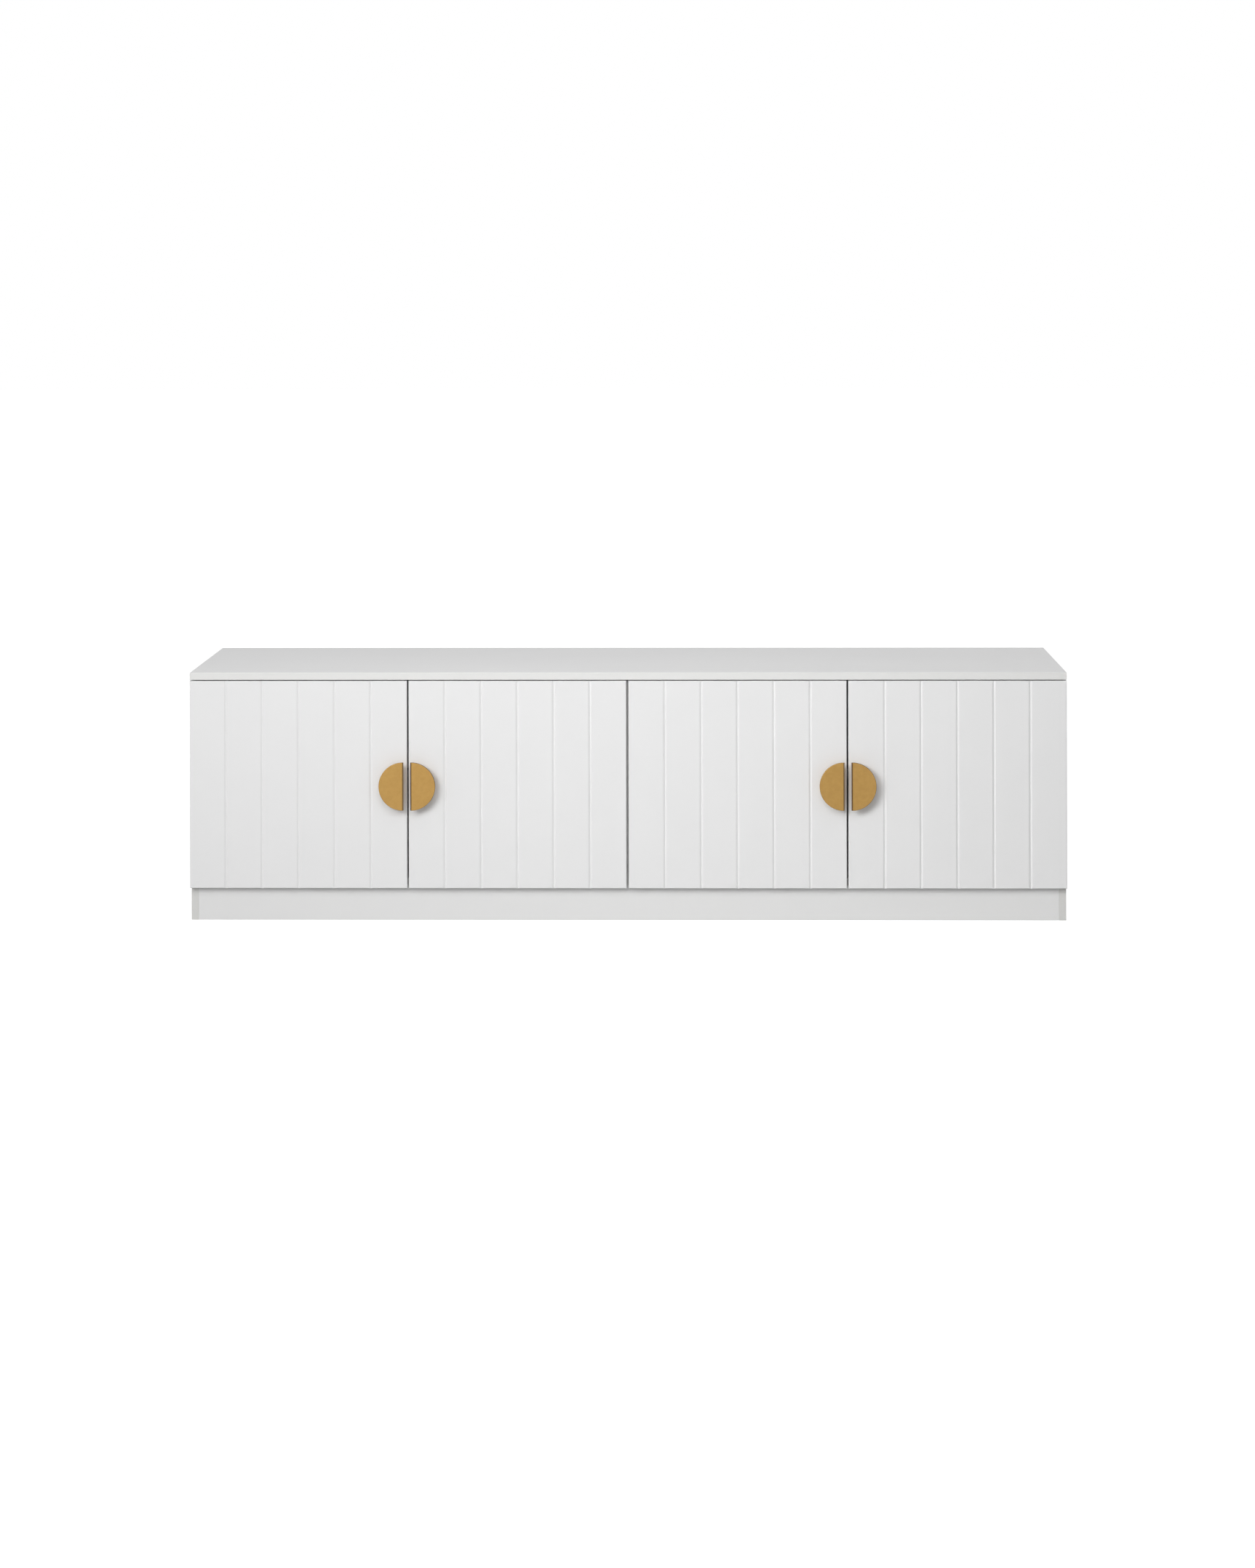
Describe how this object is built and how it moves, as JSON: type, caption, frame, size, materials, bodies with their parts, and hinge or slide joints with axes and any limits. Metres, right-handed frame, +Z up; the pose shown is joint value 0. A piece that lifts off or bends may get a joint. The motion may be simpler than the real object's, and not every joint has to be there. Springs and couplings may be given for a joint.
{
  "type": "tv stand with doors",
  "caption": "Low wide white media cabinet on a plinth, with vertically grooved overlay doors hung in pairs on cup hinges and half-moon brass handles.",
  "frame": {"origin": "middle of the footprint on the floor, handles included", "axes": "+X to the right seen from the front, +Y to the back, +Z up"},
  "size_m": [1.8, 0.422, 0.512],
  "materials": {
    "white_board": "satin white lacquer on board",
    "white_backing": "white painted hardboard",
    "satin_brass": "satin, finely brushed",
    "nickel_steel": "nickel plated",
    "zinc_casting": "bare zinc die casting",
    "beech_dowel": "fluted beech, unfinished",
    "clear_bumper": "soft translucent silicone"
  },
  "bodies": {
    "cabinet": {"top_panel": "white_board", "left_side_panel": "white_board", "right_side_panel": "white_board", "centre_divider": "white_board", "bottom_panel": "white_board", "plinth_front": "white_board", "plinth_rear": "white_board", "plinth_centre_support": "white_board", "back_panel_left": "white_backing", "back_panel_right": "white_backing", "shelf_left": "white_board", "shelf_right": "white_board", "shelf_pins": "nickel_steel", "cam_lock_nuts": "zinc_casting", "cam_bolts": "nickel_steel", "dowels": "beech_dowel", "back_panel_nails": "nickel_steel", "hinge_mounting_plates": "nickel_steel", "mounting_plate_screws": "nickel_steel", "hinge_arms": "nickel_steel", "hinge_arm_pins": "nickel_steel", "hinge_arm_screws": "nickel_steel", "door_bumpers": "clear_bumper"},
    "door_1": {"door_1_panel": "white_board", "door_1_handle": "satin_brass", "door_1_handle_posts": "satin_brass", "door_1_handle_screws": "nickel_steel", "door_1_hinge_cups": "nickel_steel", "door_1_cup_screws": "nickel_steel", "door_1_cup_pins": "nickel_steel"},
    "door_1_links": {"door_1_hinge_links": "nickel_steel"},
    "door_2": {"door_2_panel": "white_board", "door_2_handle": "satin_brass", "door_2_handle_posts": "satin_brass", "door_2_handle_screws": "nickel_steel", "door_2_hinge_cups": "nickel_steel", "door_2_cup_screws": "nickel_steel", "door_2_cup_pins": "nickel_steel"},
    "door_2_links": {"door_2_hinge_links": "nickel_steel"},
    "door_3": {"door_3_panel": "white_board", "door_3_handle": "satin_brass", "door_3_handle_posts": "satin_brass", "door_3_handle_screws": "nickel_steel", "door_3_hinge_cups": "nickel_steel", "door_3_cup_screws": "nickel_steel", "door_3_cup_pins": "nickel_steel"},
    "door_3_links": {"door_3_hinge_links": "nickel_steel"},
    "door_4": {"door_4_panel": "white_board", "door_4_handle": "satin_brass", "door_4_handle_posts": "satin_brass", "door_4_handle_screws": "nickel_steel", "door_4_hinge_cups": "nickel_steel", "door_4_cup_screws": "nickel_steel", "door_4_cup_pins": "nickel_steel"},
    "door_4_links": {"door_4_hinge_links": "nickel_steel"}
  },
  "joints": [
    {"name": "door_1_link_swing", "type": "hinge", "parent": "cabinet", "child": "door_1_links", "pos_m": [-0.8695, -0.1669, 0.2815], "axis": [0, 0, -1], "range_deg": [-30.5, 0]},
    {"name": "door_1_swing", "type": "hinge", "parent": "door_1_links", "child": "door_1", "pos_m": [-0.8893, -0.1786, 0.2815], "axis": [0, 0, -1], "range_deg": [0, 135.45]},
    {"name": "door_2_link_swing", "type": "hinge", "parent": "cabinet", "child": "door_2_links", "pos_m": [-0.0327, -0.1669, 0.2815], "axis": [0, 0, 1], "range_deg": [-24.7, 0]},
    {"name": "door_2_swing", "type": "hinge", "parent": "door_2_links", "child": "door_2", "pos_m": [-0.0129, -0.1786, 0.2815], "axis": [0, 0, 1], "range_deg": [0, 109.65]},
    {"name": "door_3_link_swing", "type": "hinge", "parent": "cabinet", "child": "door_3_links", "pos_m": [0.0327, -0.1669, 0.2815], "axis": [0, 0, -1], "range_deg": [-24.7, 0]},
    {"name": "door_3_swing", "type": "hinge", "parent": "door_3_links", "child": "door_3", "pos_m": [0.0129, -0.1786, 0.2815], "axis": [0, 0, -1], "range_deg": [0, 109.65]},
    {"name": "door_4_link_swing", "type": "hinge", "parent": "cabinet", "child": "door_4_links", "pos_m": [0.8695, -0.1669, 0.2815], "axis": [0, 0, 1], "range_deg": [-30.5, 0]},
    {"name": "door_4_swing", "type": "hinge", "parent": "door_4_links", "child": "door_4", "pos_m": [0.8893, -0.1786, 0.2815], "axis": [0, 0, 1], "range_deg": [0, 135.45]}
  ],
  "couplings": [
    {"joint": "door_1_link_swing", "follows": "door_1_swing", "ratio": -0.22481},
    {"joint": "door_2_link_swing", "follows": "door_2_swing", "ratio": -0.22481},
    {"joint": "door_3_link_swing", "follows": "door_3_swing", "ratio": -0.22481},
    {"joint": "door_4_link_swing", "follows": "door_4_swing", "ratio": -0.22481}
  ]
}
